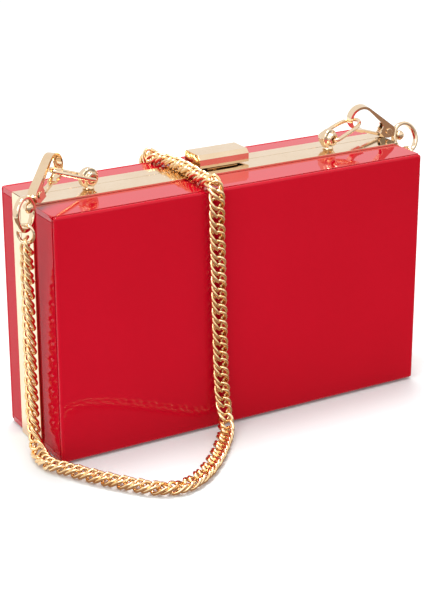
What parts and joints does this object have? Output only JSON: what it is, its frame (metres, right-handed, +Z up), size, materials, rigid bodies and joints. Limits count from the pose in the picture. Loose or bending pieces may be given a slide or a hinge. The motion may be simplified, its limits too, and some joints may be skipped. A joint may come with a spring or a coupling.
{
  "type": "clutch purse",
  "caption": "Hard box clutch: two acrylic shells on a hinged metal frame, with a lift latch, ring posts, snap hooks and a detachable chain shoulder strap.",
  "frame": {"origin": "middle of the closed purse's footprint, on the surface it stands on", "axes": "+X to the right along the latch, +Y to the back, from the front face to the back face, +Z up"},
  "size_m": [0.2161, 0.1842, 0.1281],
  "materials": {
    "red_acrylic": "polished",
    "gold_metal": "polished",
    "tie": "matte"
  },
  "bodies": {
    "front_half": {"front_panel": "red_acrylic", "front_wall_top": "red_acrylic", "front_wall_bottom": "red_acrylic", "front_wall_left": "red_acrylic", "front_wall_right": "red_acrylic", "front_rail_top": "gold_metal", "front_rail_bottom": "gold_metal", "front_rail_left": "gold_metal", "front_rail_right": "gold_metal", "hinge_left_front_leaf": "gold_metal", "hinge_left_pin": "gold_metal", "hinge_right_front_leaf": "gold_metal", "hinge_right_pin": "gold_metal", "latch_striker": "gold_metal", "ring_post_left": "gold_metal", "ring_post_right": "gold_metal", "strap_left_top": "gold_metal", "strap_left_upper": "gold_metal", "strap_left_lower": "gold_metal", "strap_front": "gold_metal", "strap_back_upper": "gold_metal", "strap_back_lower": "gold_metal", "strap_coil": "gold_metal", "strap_right_lower": "gold_metal", "strap_right_upper": "gold_metal", "strap_right_top": "gold_metal", "strap_tie": "tie"},
    "back_half": {"back_panel": "red_acrylic", "back_wall_top": "red_acrylic", "back_wall_bottom": "red_acrylic", "back_wall_left": "red_acrylic", "back_wall_right": "red_acrylic", "back_rail_top": "gold_metal", "back_rail_bottom": "gold_metal", "back_rail_left": "gold_metal", "back_rail_right": "gold_metal", "hinge_left_back_leaf": "gold_metal", "hinge_right_back_leaf": "gold_metal", "latch_base": "gold_metal", "latch_pin": "gold_metal"},
    "latch": {"latch_bar": "gold_metal"},
    "ring_left": {"d_ring_left": "gold_metal"},
    "hook_left": {"hook_body_left": "gold_metal", "gate_rivet_left": "gold_metal", "swivel_stud_left": "gold_metal"},
    "gate_left": {"gate_bar_left": "gold_metal"},
    "eye_left": {"strap_eye_left": "gold_metal", "end_link_left": "gold_metal"},
    "ring_right": {"d_ring_right": "gold_metal"},
    "hook_right": {"hook_body_right": "gold_metal", "gate_rivet_right": "gold_metal", "swivel_stud_right": "gold_metal"},
    "gate_right": {"gate_bar_right": "gold_metal"},
    "eye_right": {"strap_eye_right": "gold_metal", "end_link_right": "gold_metal"}
  },
  "joints": [
    {"name": "lid_hinge", "type": "hinge", "parent": "front_half", "child": "back_half", "pos_m": [0, 0.0046, 0.0017], "axis": [-1, 0, 0], "range_deg": [0, 50], "deforming": ["strap_back_upper", "strap_back_lower"]},
    {"name": "latch_lift", "type": "hinge", "parent": "back_half", "child": "latch", "pos_m": [0.003, 0.0094, 0.1115], "axis": [-1, 0, 0], "range_deg": [0, 22], "stiffness_Nm_per_rad": 0.02, "springref_deg": -20.05},
    {"name": "ring_left_swing", "type": "hinge", "parent": "front_half", "child": "ring_left", "pos_m": [-0.0616, 0.0006, 0.114], "axis": [-0.1736, 0.9848, 0], "range_deg": [0, 95], "deforming": ["strap_left_top", "strap_left_upper", "strap_left_lower"]},
    {"name": "hook_left_swing", "type": "hinge", "parent": "ring_left", "child": "hook_left", "pos_m": [-0.0807, -0.00399, 0.12114], "axis": [-0.1736, 0.9848, 0], "range_deg": [0, 45], "deforming": ["strap_left_top", "strap_left_upper"]},
    {"name": "gate_left_press", "type": "hinge", "parent": "hook_left", "child": "gate_left", "pos_m": [-0.09098, -0.01174, 0.11447], "axis": [0.5896, -0.8072, 0.0287], "range_deg": [0, 20], "stiffness_Nm_per_rad": 0.002, "springref_deg": -17.19},
    {"name": "eye_left_swivel", "type": "hinge", "parent": "hook_left", "child": "eye_left", "pos_m": [-0.09409, -0.01408, 0.11242], "axis": [0.7066, 0.5327, 0.4657], "range_deg": [-25, 80], "deforming": ["strap_left_top"]},
    {"name": "ring_right_swing", "type": "hinge", "parent": "front_half", "child": "ring_right", "pos_m": [0.0578, 0.0006, 0.114], "axis": [0.309, -0.9511, 0], "range_deg": [0, 95], "deforming": ["strap_right_top", "strap_right_upper", "strap_right_lower"]},
    {"name": "hook_right_swing", "type": "hinge", "parent": "ring_right", "child": "hook_right", "pos_m": [0.07753, 0.00585, 0.11852], "axis": [0.309, -0.9511, 0], "range_deg": [0, 45], "deforming": ["strap_right_top", "strap_right_upper"]},
    {"name": "gate_right_press", "type": "hinge", "parent": "hook_right", "child": "gate_right", "pos_m": [0.09308, 0.00481, 0.11211], "axis": [0.1134, 0.9869, 0.1146], "range_deg": [0, 20], "stiffness_Nm_per_rad": 0.002, "springref_deg": -17.19},
    {"name": "eye_right_swivel", "type": "hinge", "parent": "hook_right", "child": "eye_right", "pos_m": [0.097, 0.00459, 0.11013], "axis": [-0.8917, 0.0502, 0.4499], "range_deg": [-80, 80], "deforming": ["strap_right_top"]}
  ]
}
